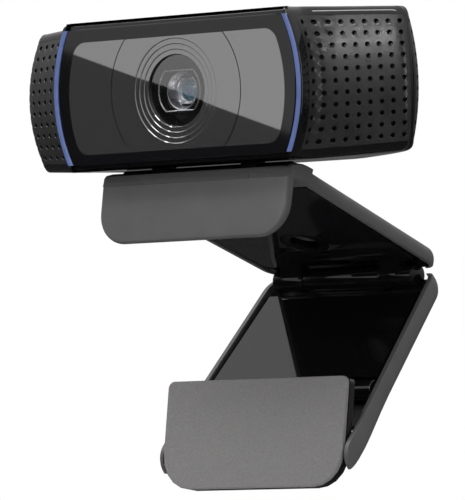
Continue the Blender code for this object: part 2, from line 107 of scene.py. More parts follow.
CLIP_MATRIX = Matrix.Rotation(CLIP_SLOPE, 4, "X")
LEG_MATRIX = Matrix.Translation(HINGE) @ Matrix.Rotation(LEG_DROP, 4, "X")


# ---- Camera ----
CAMERA_AZIMUTH = math.radians(39.0)
CAMERA_ELEVATION = math.radians(-0.9)
CAMERA_ROLL = math.radians(-2.3)
CAMERA_DISTANCE = 1.221
SENSOR_WIDTH = 36.0          # in millimetres, like the focal length
FOCAL_LENGTH = 457.2
AIM = Vector((0.0, -0.0140, -0.0043))


def linked(name, data):
    """A new object in the scene, for a mesh, a light or a camera."""
    obj = bpy.data.objects.new(name, data)
    bpy.context.scene.collection.objects.link(obj)
    return obj


def mesh_object(name, data):
    """A new object made from a bmesh."""
    mesh = bpy.data.meshes.new(name)
    data.to_mesh(mesh)
    data.free()
    return linked(name, mesh)


def make_camera():
    data = bpy.data.cameras.new("photo_camera")
    data.sensor_width = SENSOR_WIDTH
    data.lens = FOCAL_LENGTH
    data.clip_start = 0.05
    data.clip_end = 20.0
    camera = linked("photo_camera", data)
    sin_a, cos_a = math.sin(CAMERA_AZIMUTH), math.cos(CAMERA_AZIMUTH)
    sin_e, cos_e = math.sin(CAMERA_ELEVATION), math.cos(CAMERA_ELEVATION)
    back = Vector((sin_a * cos_e, -cos_a * cos_e, sin_e))
    right = Vector((cos_a, sin_a, 0))
    up = back.cross(right)
    turn = Matrix((right, up, back)).transposed().to_4x4()
    camera.matrix_world = (Matrix.Translation(AIM + back * CAMERA_DISTANCE) @ turn
                           @ Matrix.Rotation(CAMERA_ROLL, 4, "Z"))
    bpy.context.scene.camera = camera
    return camera


# ---- Light, as the window mirrors it (x and z on the window, in millimetres) ----
GLARE_FROM = (-23.7, 27.9)
GLARE_TO = (27.3, 10.4)
GLARE_DISTANCE = 0.55        # from the window to the card's lower edge, in metres
GLARE_SIZE = (0.60, 0.34)
GLARE_POWER = 0.48
DARK_SIDE = Vector((-0.63, -0.77, 0.0)).normalized()    # the room is dim this way, so flat fronts stay black


# ---- Materials ----
def new_material(name, colour, roughness, metallic=0.0, coat=0.0):
    material = bpy.data.materials.new(name)
    material.use_nodes = True
    shader = material.node_tree.nodes["Principled BSDF"]
    shader.inputs["Base Color"].default_value = (*colour, 1)
    shader.inputs["Roughness"].default_value = roughness
    shader.inputs["Metallic"].default_value = metallic
    shader.inputs["Coat Weight"].default_value = coat
    shader.inputs["Coat Roughness"].default_value = 0.04
    return material, material.node_tree, shader


def add_node(tree, kind, **inputs):
    node = tree.nodes.new(kind)
    for key, value in inputs.items():
        node.inputs[key.replace("_", " ")].default_value = value
    return node


def object_coordinates(tree):
    return tree.nodes.new("ShaderNodeTexCoord").outputs["Object"]


def noise(tree, scale, detail=3.0, roughness=0.55):
    node = add_node(tree, "ShaderNodeTexNoise", Scale=scale, Detail=detail, Roughness=roughness)
    tree.links.new(object_coordinates(tree), node.inputs["Vector"])
    return node.outputs["Fac"]


def remap(tree, value, low, high, out_low, out_high):
    node = add_node(tree, "ShaderNodeMapRange", From_Min=low, From_Max=high, To_Min=out_low, To_Max=out_high)
    tree.links.new(value, node.inputs["Value"])
    return node.outputs["Result"]


def ramp(tree, value, stops):
    node = tree.nodes.new("ShaderNodeValToRGB")
    elements = node.color_ramp.elements
    while len(elements) < len(stops):
        elements.new(0.5)
    for element, (place, colour) in zip(elements, stops):
        element.position = place
        element.color = (*colour, 1)
    tree.links.new(value, node.inputs["Fac"])
    return node.outputs["Color"]


def bump(tree, shader, height, distance, strength=1.0):
    node = add_node(tree, "ShaderNodeBump", Strength=strength, Distance=distance)
    tree.links.new(height, node.inputs["Height"])
    tree.links.new(node.outputs["Normal"], shader.inputs["Normal"])


def vary_roughness(tree, shader, scale, detail, low, high):
    """Roughness that wanders between two values over the surface."""
    tree.links.new(remap(tree, noise(tree, scale, detail), 0.3, 0.7, low, high), shader.inputs["Roughness"])


def vary_colour(tree, shader, scale, detail, stops):
    """Base colour that wanders between the stops of a ramp over the surface."""
    tree.links.new(ramp(tree, noise(tree, scale, detail), stops), shader.inputs["Base Color"])


def gloss_black():
    """Polished moulded plastic: deep black, faint smears and a hint of sink in the surface."""
    material, tree, shader = new_material("gloss_black", (0.0035, 0.0035, 0.0040), 0.03)
    vary_roughness(tree, shader, 60, 4, 0.015, 0.05)
    bump(tree, shader, noise(tree, 90, 2), 0.000004, 0.4)
    return material


def satin_grey(name="satin_grey", dark=(0.050, 0.049, 0.049), light=(0.056, 0.055, 0.055), rough=0.40):
    """Spark-eroded dark grey plastic with a soft sheen."""
    material, tree, shader = new_material(name, dark, 0.44)
    vary_colour(tree, shader, 180, 5, [(0.35, dark), (0.65, light)])
    vary_roughness(tree, shader, 700, 3, rough - 0.04, rough + 0.08)
    bump(tree, shader, noise(tree, 2600, 3), 0.00003, 0.45)
    return material


def rubber_pad():
    """Soft grey rubber with a fine leather-like grain."""
    material, tree, shader = new_material("rubber_grey", (0.135, 0.13, 0.13), 0.78)
    cells = add_node(tree, "ShaderNodeTexVoronoi", Scale=2600.0, Randomness=1.0)
    tree.links.new(object_coordinates(tree), cells.inputs["Vector"])
    mottled = noise(tree, 2300, 5, 0.7)
    tree.links.new(ramp(tree, mottled, [(0.3, (0.096, 0.093, 0.093)), (0.7, (0.130, 0.126, 0.126))]),
                   shader.inputs["Base Color"])
    mix = tree.nodes.new("ShaderNodeMath")
    mix.operation = "MULTIPLY_ADD"
    mix.inputs[1].default_value = 0.6
    tree.links.new(cells.outputs["Distance"], mix.inputs[0])
    tree.links.new(mottled, mix.inputs[2])
    bump(tree, shader, mix.outputs[0], 0.00010, 0.55)
    return material


def window_print():
    """Smoked window over a finely speckled dark print."""
    material, tree, shader = new_material("window_print", (0.02, 0.02, 0.021), 0.5, coat=1.0)
    shader.inputs["Coat IOR"].default_value = 3.1
    shader.inputs["Coat Roughness"].default_value = 0.012
    stops = [(0.40, (0.005, 0.005, 0.005)), (0.62, (0.017, 0.016, 0.017))]
    tree.links.new(ramp(tree, noise(tree, 3200, 2, 0.7), stops), shader.inputs["Base Color"])
    vary_roughness(tree, shader, 2000, 3, 0.45, 0.6)
    return material


def light_guide():
    """Milky blue plastic, lit faintly from within."""
    material, tree, shader = new_material("light_blue", (0.075, 0.14, 0.42), 0.34)
    vary_colour(tree, shader, 400, 3, [(0.3, (0.050, 0.075, 0.18)), (0.7, (0.065, 0.095, 0.23))])
    shader.inputs["Emission Color"].default_value = (0.06, 0.12, 0.40, 1)
    shader.inputs["Emission Strength"].default_value = 0.05
    return material


def steel(name="steel", colour=(0.56, 0.56, 0.57), roughness=0.3):
    """Turned metal with a fine, slightly uneven finish."""
    material, tree, shader = new_material(name, colour, roughness, metallic=1.0)
    vary_roughness(tree, shader, 900, 4, roughness - 0.08, roughness + 0.1)
    bump(tree, shader, noise(tree, 2400, 2), 0.000015, 0.4)
    return material


def lens_glass():
    """Coated front element: its coloured reflections are painted into the base colour, in rings from the
    middle outward.
    """
    material, tree, shader = new_material("lens_glass", (0.01, 0.03, 0.05), 0.03, coat=1.0)
    centre = tree.nodes.new("ShaderNodeVectorMath")
    centre.operation = "DISTANCE"
    centre.inputs[1].default_value = LENS_CENTRE * MM
    tree.links.new(object_coordinates(tree), centre.inputs[0])
    radius = remap(tree, centre.outputs["Value"], 0.0, 0.0021, 0.0, 1.0)
    # painted reflections: coloured rings standing in for coating and inner-element reflections
    rings = [(0.0, (0.16, 0.12, 0.42)), (0.28, (0.03, 0.03, 0.12)), (0.45, (0.01, 0.22, 0.30)),
             (0.62, (0.005, 0.05, 0.08)), (0.82, (0.10, 0.30, 0.42)), (1.0, (0.004, 0.006, 0.012))]
    tree.links.new(ramp(tree, radius, rings), shader.inputs["Base Color"])
    return material


def clear_glass():
    """Flat smoked glass over the lens cup: half see-through, with a mirror-like face."""
    material, tree, shader = new_material("clear_glass", (0.004, 0.004, 0.005), 0.02, coat=1.0)
    shader.inputs["Alpha"].default_value = 0.40
    shader.inputs["Coat IOR"].default_value = 4.0
    shader.inputs["Coat Roughness"].default_value = 0.01
    vary_colour(tree, shader, 300, 2, [(0.3, (0.004, 0.004, 0.005)), (0.7, (0.006, 0.006, 0.007))])
    return material


def painted_shade_black():
    """Painted shade: near-black plastic with its shine turned down, so that parts read as lying in deep
    shade.
    """
    material, tree, shader = new_material("painted_shade_black", (0.002, 0.002, 0.002), 0.3)
    shader.inputs["Specular IOR Level"].default_value = 0.22
    vary_roughness(tree, shader, 200, 3, 0.24, 0.36)
    vary_colour(tree, shader, 150, 3, [(0.3, (0.0018, 0.0018, 0.0018)), (0.7, (0.003, 0.003, 0.003))])
    return material


def circuit_board():
    """Green board with faint traces."""
    material, tree, shader = new_material("circuit_board", (0.015, 0.09, 0.04), 0.5)
    vary_colour(tree, shader, 800, 2, [(0.45, (0.01, 0.07, 0.03)), (0.55, (0.03, 0.14, 0.06))])
    bump(tree, shader, noise(tree, 900, 2), 0.00004)
    return material


LENS_CENTRE = Vector((0, FRONT_Y + 4.5, MID_Z))
LOOKS = {
    "gloss_black": gloss_black(),
    "satin_grey": satin_grey(),
    "grille_grey": satin_grey("grille_grey", (0.011, 0.011, 0.0113), (0.016, 0.016, 0.0165), rough=0.30),
    "window_black": gloss_black(),
    "window_print": window_print(),
    "light_blue": light_guide(),
    "rubber_grey": rubber_pad(),
    "steel": steel(),
    "black_metal": steel("black_metal", (0.03, 0.03, 0.032), 0.35),
    "bright_ring": steel("bright_ring", (0.92, 0.93, 0.96), 0.2),
    "lens_glass": lens_glass(),
    "clear_glass": clear_glass(),
    # painted shade: near-black with almost no shine, for parts that should look shaded
    "painted_shade_black": painted_shade_black(),
    "housing_rim": steel("housing_rim", (0.50, 0.50, 0.51), 0.3),
    "cone_metal": steel("cone_metal", (0.62, 0.62, 0.64), 0.3),
    "circuit_board": circuit_board(),
}
DARK_METAL = ("tripod_insert", "leg_hinge_pin", "foot_hinge_pin", "tilt_pin", "tilt_bracket")


def dress_cad_nodes():
    """Give every carried-over CAD node the material of its slot; the listed dark metal parts get black metal
    instead.
    """
    for part in frame["record"]["subparts"]:
        obj = frame["nodes"][part["node"]]
        obj.data.materials.clear()
        look = "black_metal" if part["node"] in DARK_METAL else part["material_slot"]
        obj.data.materials.append(LOOKS[look])


# ---- Mesh helpers ----
def publish(data, name, body, look, replaces=(), smooth=35, outward=None):
    """Turn a bmesh made in millimetres into a finished piece of the object.

    An open sheet gives the direction that it faces, outward.
    """
    bmesh.ops.scale(data, vec=(MM, MM, MM), verts=data.verts)
    bmesh.ops.recalc_face_normals(data, faces=data.faces)
    if outward and sum(face.normal.dot(outward) * face.calc_area() for face in data.faces) < 0:
        bmesh.ops.reverse_faces(data, faces=data.faces)
    obj = mesh_object(name, data)
    obj.data.materials.append(LOOKS[look])
    obj.data.shade_smooth()
    obj.data.set_sharp_from_angle(angle=math.radians(smooth))
    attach(obj, body)
    if replaces:
        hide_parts(*replaces)
    return obj


def skin(data, rows, closed=False):
    """Quads between successive rows of points; returns the rows of vertices."""
    made = [[data.verts.new(point) for point in row] for row in rows]
    for first, second in zip(made, made[1:]):
        pairs = list(zip(first, first[1:], second[1:], second))
        if closed:
            pairs.append((first[-1], first[0], second[0], second[-1]))
        for quad in pairs:
            data.faces.new(quad)
    return made


def arc(centre, radius, start, stop, steps):
    """Points on a circle from one angle to another, in degrees."""
    points = []
    for step in range(steps + 1):
        angle = math.radians(start + (stop - start) * step / steps)
        points.append((centre[0] + radius * math.cos(angle), centre[1] + radius * math.sin(angle)))
    return points


def softened(nodes, name, body, look, width, segments):
    """A copy of CAD nodes with their hard edges rounded, in place of them."""
    data = bmesh.new()
    for node in nodes:
        data.from_mesh(frame["nodes"][node].data)
    bmesh.ops.remove_doubles(data, verts=data.verts, dist=0.000002)
    bmesh.ops.dissolve_limit(data, angle_limit=math.radians(0.5), verts=data.verts, edges=data.edges)
    obj = mesh_object(name, data)
    bevel = obj.modifiers.new("rounded_edges", "BEVEL")
    bevel.width = width * MM
    bevel.segments = segments
    bevel.limit_method = "ANGLE"
    bevel.angle_limit = math.radians(25)
    obj.data.materials.append(LOOKS[look])
    obj.data.shade_smooth()
    normals = obj.modifiers.new("even_normals", "WEIGHTED_NORMAL")
    normals.keep_sharp = True
    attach(obj, body)
    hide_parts(*nodes)


# ---- Head surface ----
def wing_y(x):
    """Where the swept wing's face lies at a distance from the middle."""
    return WING_ROOT_Y + (x - BEZEL_RADIUS) * math.tan(WING_SWEEP)


def front_plan():
    """Right half of the front shell seen from above, from the middle to the seam."""
    sweep = math.degrees(WING_SWEEP)
    rim = arc((BEZEL_RADIUS - 0.35, FRONT_Y + 0.45), 0.35, -90, 0, 5)
    fillet_radius = 1.9
    wall_x = BEZEL_RADIUS + 0.15
    centre_x = wall_x + fillet_radius
    centre_y = wing_y(centre_x) - fillet_radius / math.cos(WING_SWEEP)
    fillet = arc((centre_x, centre_y), fillet_radius, 180, 90 + sweep, 6)
    corner_x = HALF_WIDTH - CORNER_RADIUS
    corner_y = wing_y(corner_x) + CORNER_RADIUS / math.cos(WING_SWEEP)
    corner = arc((corner_x, corner_y), CORNER_RADIUS, -90 + sweep, 0, 8)
    seat = FRONT_Y + WINDOW_THICK
    flat = [(0, seat), (12, seat), (BEZEL_RADIUS - 0.75, seat), (BEZEL_RADIUS - 0.7, FRONT_Y + 0.2)]
    wing = [(fillet[-1][0] + (corner[0][0] - fillet[-1][0]) * step / 4,
             fillet[-1][1] + (corner[0][1] - fillet[-1][1]) * step / 4) for step in (1, 2, 3)]
    return flat + rim + fillet + wing + corner + [(HALF_WIDTH, SPLIT_Y)]


def rear_plan():
    """Right half of the rear shell, from the seam round to the middle of the back."""
    start = REAR_LOW.y
    reach, depth = 22.0, REAR_Y - start
    corner = []
    for step in range(15):
        angle = math.radians(90 * step / 14)
        corner.append((HALF_WIDTH - reach * (1 - math.cos(angle)), start + depth * math.sin(angle)))
    return corner + [(x, REAR_Y) for x in (16, 8, 0)]


class Plan:
    """A plan curve measured along its length, with its outward normal."""

    def __init__(self, points):
        self.points = [Vector(point) for point in points]
        self.marks = [0.0]
        for first, second in zip(self.points, self.points[1:]):
            self.marks.append(self.marks[-1] + (second - first).length)
        self.length = self.marks[-1]

    def at(self, distance):
        distance = min(max(distance, 0.0), self.length)
        index = 0
        while index < len(self.marks) - 2 and self.marks[index + 1] < distance:
            index += 1
        share = (distance - self.marks[index]) / (self.marks[index + 1] - self.marks[index])
        return self.points[index].lerp(self.points[index + 1], share)

    def normal(self, distance):
        step = 0.25
        along = self.at(distance + step) - self.at(distance - step)
        return Vector((along.y, -along.x)).normalized()


def height_share(x):
    """Height of the head at x, as a share of its height in the middle."""
    beyond = min(1.0, max(0.0, (abs(x) - BEZEL_RADIUS) / (HALF_WIDTH - BEZEL_RADIUS)))
    return 1 - TAPER * beyond


def bowed(x, z):
    """Everything about the head runs in arcs about the lens, so x gives way with height."""
    ease = min(1.0, max(0.0, (abs(x) - 12) / 14))
    return math.copysign(math.sqrt(max(0.0, x * x - ease * z * z)), x)


def head_point(plan, distance, z, depth=0.0, side=1):
    """A point of the head at a distance along its plan, z above the lens axis, sunk by depth."""
    place = plan.at(distance) - plan.normal(distance) * depth
    share = height_share(place.x)
    crown = CROWN * min(1.0, max(0.0, (place.x - BEZEL_RADIUS) / 4)) * (z / HALF_HEIGHT) ** 2
    place = place + Vector((0, crown if plan is FRONT_PLAN else 0))
    return Vector((side * bowed(place.x, z), place.y, MID_Z + z * share))


FRONT_PLAN = Plan(front_plan())
REAR_PLAN = Plan(rear_plan())
FILLET_MARK = 10             # the plan's first point on the fillet between bezel and wing
STRIP_START = FRONT_PLAN.marks[FILLET_MARK] - 1.6
STRIP_STOP = FRONT_PLAN.length - 0.7
STRIP_COLUMNS = int((FRONT_PLAN.length - 1.0 - STRIP_START) / HOLE_PITCH)
STRIP_DEPTH = 0.9            # depth of the recess that holds the matte strip
STRIP_SKIN = 0.04            # how far the strip lies below the gloss around it
REAR_RECESS = (0.5, 9.7)
REAR_COLUMNS = 4
LENS_HOLE_RADIUS = 6.96
LENS_HOLE_DEPTH = 9.0


def edge_profile(strip):
    """Heights and insets from bottom to top; strip is the depth of the wing recess."""
    rise = [math.radians(angle) for angle in (0, 18, 36, 54, 72, 90)]
    top = [(HALF_HEIGHT - EDGE_ROUND + EDGE_ROUND * math.sin(angle), EDGE_ROUND * (1 - math.cos(angle)))
           for angle in rise]
    middle = [(-STRIP_HALF, 0.0)] + [(z, strip) for z in (-STRIP_HALF, -8, -4, 0, 4, 8, STRIP_HALF)]
    middle.append((STRIP_HALF, 0.0))
    bottom = [(-z, inset) for z, inset in reversed(top)]
    return bottom + middle + top


def shell_rows(plan, side, recess_from, recess_to):
    """Section after section of one side of a shell, along its plan."""
    rows = []
    marks = sorted(set(plan.marks + [recess_from, recess_from + 0.01, recess_to, recess_to + 0.01]))
    for mark in marks:
        inside = recess_from < mark < recess_to + 0.005
        profile = edge_profile(STRIP_DEPTH if inside else 0.0)
        rows.append([head_point(plan, mark, z, inset, side) for z, inset in profile])
    return rows


def make_shell(plan, name, node, recess_from, recess_to):
    """One half of the head's housing as a closed solid with a recess for each wing strip."""
    right = shell_rows(plan, 1, recess_from, recess_to)
    left = shell_rows(plan, -1, recess_from, recess_to)
    middle_first = plan.points[0].x < 0.001
    rows = (left[::-1] + right[1:]) if middle_first else (right + left[::-1][1:])
    data = bmesh.new()
    made = skin(data, rows)
    data.faces.new([row[-1] for row in made])
    data.faces.new([row[0] for row in reversed(made)])
    data.faces.new(made[0] + made[-1][::-1])
    bmesh.ops.remove_doubles(data, verts=data.verts, dist=0.0005)
    bmesh.ops.triangulate(data, faces=[face for face in data.faces if len(face.verts) > 4])
    return publish(data, name, "head", "gloss_black", replaces=(node,), smooth=32)


def drill(obj, radius, depth):
    """A round hole about the lens axis, from the front."""
    data = bmesh.new()
    bmesh.ops.create_cone(data, cap_ends=True, segments=96, radius1=radius * MM, radius2=radius * MM,
                          depth=2 * depth * MM)
    bmesh.ops.rotate(data, verts=data.verts, matrix=Matrix.Rotation(math.pi / 2, 3, "X"))
    bmesh.ops.translate(data, verts=data.verts, vec=(0, FRONT_Y * MM, MID_Z * MM))
    cutter = mesh_object("drill", data)
    hole = obj.modifiers.new("lens_hole", "BOOLEAN")
    hole.operation = "DIFFERENCE"
    hole.solver = "EXACT"
    hole.object = cutter
    graph = bpy.context.evaluated_depsgraph_get()
    cut = bpy.data.meshes.new_from_object(obj.evaluated_get(graph))
    obj.modifiers.clear()
    obj.data = cut
    bpy.data.objects.remove(cutter)


def perforated_strip(plan, name, side, start, stop, columns, nodes=()):
    """The matte wing skin: a sheet that follows the housing, with a grid of real holes."""
    data = bmesh.new()
    half_cell = HOLE_PITCH / 2
    first_z = -HOLE_PITCH * (HOLE_ROWS - 1) / 2
    corners = [(1, 1), (-1, 1), (-1, -1), (1, -1), (1, 1)]
    border, circle = [], []
    for step in range(16):
        first, second = corners[step // 4], corners[step // 4 + 1]
        share = (step % 4) / 4
        border.append([(a + (b - a) * share) * half_cell for a, b in zip(first, second)])
        angle = math.radians(45 + 22.5 * step)
        circle.append((HOLE_RADIUS * math.cos(angle), HOLE_RADIUS * math.sin(angle)))

    def point(distance, z, depth):
        return head_point(plan, distance, z, depth, side)

    def put(distance, z, depth):
        return data.verts.new(point(distance, z, depth))

    for column in range(columns):
        for row in range(HOLE_ROWS):
            mid_s = start + HOLE_PITCH * (column + 0.5)
            mid_z = first_z + HOLE_PITCH * row
            edge = [put(mid_s + s, mid_z + z, STRIP_SKIN) for s, z in border]
            rim = [put(mid_s + s * 1.12, mid_z + z * 1.12, STRIP_SKIN) for s, z in circle]
            lip = [put(mid_s + s, mid_z + z, STRIP_SKIN + 0.06) for s, z in circle]
            wall = [put(mid_s + s, mid_z + z, STRIP_DEPTH - 0.1) for s, z in circle]
            for step in range(16):
                after = (step + 1) % 16
                for outer, inner in ((edge, rim), (rim, lip), (lip, wall)):
                    data.faces.new((outer[step], outer[after], inner[after], inner[step]))
    end = start + HOLE_PITCH * columns
    top = STRIP_HALF - 0.04
    low = HOLE_PITCH * HOLE_ROWS / 2
    cells = [start + (end - start) * step / (columns * 4) for step in range(columns * 4 + 1)]
    sunk = STRIP_DEPTH - 0.02
    for edge in (((low, STRIP_SKIN), (top, STRIP_SKIN), (top, sunk)),
                 ((-top, sunk), (-top, STRIP_SKIN), (-low, STRIP_SKIN))):
        skin(data, [[point(s, z, depth) for z, depth in edge] for s in cells + [stop]])
    levels = [-low + HOLE_PITCH / 4 * step for step in range(HOLE_ROWS * 4 + 1)]
    for ends in (((end, STRIP_SKIN), (stop, STRIP_SKIN), (stop, sunk)),
                 ((start, sunk), (start, STRIP_SKIN))):
        skin(data, [[point(s, z, depth) for z in levels] for s, depth in ends])
    bmesh.ops.remove_doubles(data, verts=data.verts, dist=0.002)
    outward = Vector((side * 0.4, -1, 0))
    publish(data, name, "head", "grille_grey", replaces=nodes, smooth=40, outward=outward)
    # painted shade: a near-black sheet just above the recess floor, so the holes read as dark
    shade_sheet = bmesh.new()
    skin(shade_sheet, [[point(s, z, STRIP_DEPTH - 0.08) for z in levels] for s in cells])
    publish(shade_sheet, name + "_backing", "head", "painted_shade_black", smooth=40, outward=outward)


# ---- Window ----
def window_reach(angle, radius, half):
    """Distance from the lens axis to the edge of a disc that is cut off above and below."""
    return min(radius, half / max(0.001, abs(math.sin(angle))))


def polar_sheet(data, rings, angles=192):
    """Rings round the lens axis, each a function that gives (radius, y) at an angle."""
    rows = []
    for ring in rings:
        row = []
        for step in range(angles):
            angle = 2 * math.pi * step / angles
            radius, y = ring(angle)
            row.append(Vector((radius * math.cos(angle), y, MID_Z + radius * math.sin(angle))))
        rows.append(row)
    return skin(data, rows, closed=True)


def fixed(radius, y):
    """A round ring."""
    return lambda angle: (radius, y)


def share(inner, y, amount, inset=0.0):
    """A ring between the inner radius and the window's edge."""
    def place(angle):
        reach = window_reach(angle, WINDOW_RADIUS - inset, WINDOW_HALF - inset)
        return inner + (reach - inner) * amount, y
    return place


def make_window():
    """Black glass over the middle of the head, open in the middle for the stepped print."""
    face = FRONT_Y + 0.05
    data = bmesh.new()
    hole = SEAM_RADIUS - 5.6
    steps = [fixed(hole, face + 0.95), fixed(hole, face + 0.1), fixed(hole + 0.1, face)]
    steps += [share(hole + 0.1, face, amount) for amount in (0.3, 0.7)]
    steps += [share(hole + 0.1, face, 1.0, 0.22), share(hole + 0.1, face + 0.04, 1.0, 0.08)]
    steps += [share(hole + 0.1, face + 0.14, 1.0), share(hole + 0.1, face + 0.9, 1.0)]
    polar_sheet(data, steps)
    publish(data, "window_glass", "head", "gloss_black",
            replaces=("window_cover",), smooth=10, outward=FORWARD)


def print_width(z):
    """Half width of the printed panel at a height, with rounded corners."""
    side = math.sqrt(PRINT_RADIUS ** 2 - z * z)
    over = abs(z) - (PRINT_HALF - PRINT_CORNER)
    if over > 0:
        side -= PRINT_CORNER - math.sqrt(max(0.0, PRINT_CORNER ** 2 - over ** 2))
    return side


def print_levels():
    """Heights of the panel's rows, close together at its rounded corners."""
    flat = PRINT_HALF - PRINT_CORNER
    rise = [flat + PRINT_CORNER * math.sin(math.radians(angle)) for angle in range(0, 91, 10)]
    middle = [-flat + 2 * flat * step / 24 for step in range(1, 24)]
    return [-z for z in reversed(rise)] + middle + rise


def make_print():
    """The finely speckled panel of the window: a middle disc and a wing each side of its seam."""
    face = FRONT_Y + 0.03
    seam = 0.09

    def sheet(name, low_x, high_x):
        data = bmesh.new()
        rows = []
        for z in print_levels():
            low, high = low_x(z), high_x(z)
            edge = [(low, face + 0.06), (low + 0.02, face)]
            inner = [(low + (high - low) * step / 6, face) for step in range(1, 6)]
            points = edge + inner + [(high - 0.02, face), (high, face + 0.06)]
            rows.append([Vector((x, y, MID_Z - PRINT_DROP + z)) for x, y in points])
        skin(data, rows)
        publish(data, name, "head", "window_print", outward=FORWARD, smooth=5)

    def circle(radius):
        return lambda z: math.sqrt(radius ** 2 - (z - PRINT_DROP) ** 2)

    sheet("window_print_right", circle(SEAM_RADIUS + seam), print_width)
    sheet("window_print_left", lambda z: -print_width(z), lambda z: -circle(SEAM_RADIUS + seam)(z))
    data = bmesh.new()
    start = STEP_RADII[-1] + 0.3

    def rim(amount, y, inset=0.0):
        def place(angle):
            half = PRINT_HALF - inset - math.copysign(PRINT_DROP, math.sin(angle))
            reach = window_reach(angle, SEAM_RADIUS - seam - inset, half)
            return start + (reach - start) * amount, y
        return place

    level = face + STEP_DEPTH * len(STEP_RADII)
    rings = [fixed(CUP_RADIUS, face + 1.6), fixed(CUP_RADIUS, level + 0.06), fixed(CUP_RADIUS + 0.06, level)]
    for radius in STEP_RADII:
        rings += [fixed(radius - 0.06, level), fixed(radius, level - 0.2 * STEP_DEPTH),
                  fixed(radius + 0.04, level - 0.6 * STEP_DEPTH),
                  fixed(radius + 0.08, level - 1.15 * STEP_DEPTH),
                  fixed(radius + 0.18, level - 1.15 * STEP_DEPTH), fixed(radius + 0.24, level - STEP_DEPTH)]
        level -= STEP_DEPTH
    rings += [rim(0.0, face), rim(0.5, face), rim(1.0, face, 0.03), rim(1.0, face + 0.06)]
    polar_sheet(data, rings)
    publish(data, "window_print_middle", "head", "window_print",
            outward=FORWARD, smooth=8)


GUIDE_HALF = 13.0            # half height of a light guide
GUIDE_SECTION = ((29.40, 0.7), (29.40, 0.10), (29.50, 0.03), (29.95, -0.01), (30.38, 0.03), (30.48, 0.10),
                 (30.48, 0.7))


def make_light_arcs():
    """Blue light guides: arcs about the lens, set between the window and the bezel's rim."""
    for side_name, side in (("left", -1), ("right", 1)):
        data = bmesh.new()
        rows = []
        for step in range(41):
            z = -GUIDE_HALF + 2 * GUIDE_HALF * step / 40
            rows.append([Vector((side * math.sqrt(radius ** 2 - z * z), FRONT_Y + y, MID_Z + z))
                         for radius, y in GUIDE_SECTION])
        made = skin(data, rows)
        data.faces.new(made[0])
        data.faces.new(made[-1][::-1])
        publish(data, side_name + "_light_guide", "head", "light_blue",
                replaces=(side_name + "_light_bar",), smooth=40, outward=FORWARD)


# ---- Lens ----
TURNED_SIDES = 96


def turned_piece(profile, name, body, look, replaces=(), smooth=30):
    """A round piece about the lens axis from (radius, depth behind the window's face) points."""
    data = bmesh.new()
    polar_sheet(data, [fixed(radius, FRONT_Y + depth) for radius, depth in profile], TURNED_SIDES)
    bmesh.ops.remove_doubles(data, verts=data.verts, dist=0.0005)
    publish(data, name, body, look, replaces=replaces, smooth=smooth, outward=FORWARD)


def make_lens():
    """Lens behind the window: a cup in near-black painted shade, a flat-sided housing, a bright cone and the
    glass.
    """
    # painted shade: the cup is near-black with almost no shine
    turned_piece([(CUP_RADIUS, 1.5), (6.8, 1.7), (6.6, 5.6), (5.4, 5.8),
                  (3.0, 5.8), (2.2, 5.6)], "lens_cup", "head", "painted_shade_black",
                 replaces=("lens_surround",))

    def flattened(profile, name, look, replaced):
        """A ring of the housing: round, with a flat above and below."""
        data = bmesh.new()
        rows = []
        for radius, depth in profile:
            flat = HOUSING_FLAT - (HOUSING_RADIUS - radius)
            row = []
            for step in range(128):
                angle = 2 * math.pi * step / 128
                rise = min(flat, max(-flat, radius * math.sin(angle)))
                row.append(Vector((radius * math.cos(angle), FRONT_Y + depth, MID_Z + rise)))
            rows.append(row)
        skin(data, rows, closed=True)
        publish(data, name, "lens", look, replaces=replaced, smooth=28, outward=FORWARD)

    outer = HOUSING_RADIUS
    flattened([(outer, 5.2), (outer, 1.42)], "lens_housing", "black_metal", ("lens_barrel",))
    flattened([(outer, 1.42), (outer, 1.26), (outer - 0.06, 1.17), (outer - 0.16, 1.15), (outer - 0.26, 1.2),
               (outer - 0.32, 1.34)], "lens_housing_rim", "housing_rim", ())
    # painted shade: the housing's inside wall is near-black with no shine, darker than its own black metal
    flattened([(outer - 0.32, 1.34), (outer - 0.36, 3.2), (outer - 1.5, 3.6), (outer - 1.6, 4.4)],
              "lens_housing_inside", "painted_shade_black", ())
    turned_piece([(3.85, 3.4), (3.72, 2.08), (3.64, 2.0), (3.55, 2.06),
                  (3.15, 2.9), (2.95, 3.5), (2.85, 3.9)],
                 "lens_cone", "lens", "cone_metal", replaces=("lens_ring",), smooth=20)
    ribs = [(2.85, 3.9), (2.78, 3.72), (2.66, 3.7), (2.56, 3.84)]
    for step in range(4):
        radius = 2.54 - 0.16 * step
        depth = 3.9 + 0.15 * step
        ribs += [(radius, depth), (radius - 0.04, depth - 0.05), (radius - 0.10, depth - 0.03),
                 (radius - 0.14, depth + 0.12)]
    turned_piece(ribs + [(1.85, 4.9)],
                 "lens_ribbed_ring", "lens", "bright_ring", smooth=20)
    dome = [(1.9 * math.sin(math.radians(a)), 5.1 - 0.85 * math.cos(math.radians(a)))
            for a in range(90, -1, -9)]
    turned_piece(dome, "lens_front_glass", "lens", "lens_glass", replaces=("lens_front_element",), smooth=60)
    turned_piece([(CUP_RADIUS - 0.02, 0.98), (CUP_RADIUS - 0.02, 0.85),
                  (CUP_RADIUS - 0.1, 0.8), (3.5, 0.8), (0.0, 0.8)],
                 "lens_cover_glass", "head", "clear_glass", smooth=10)


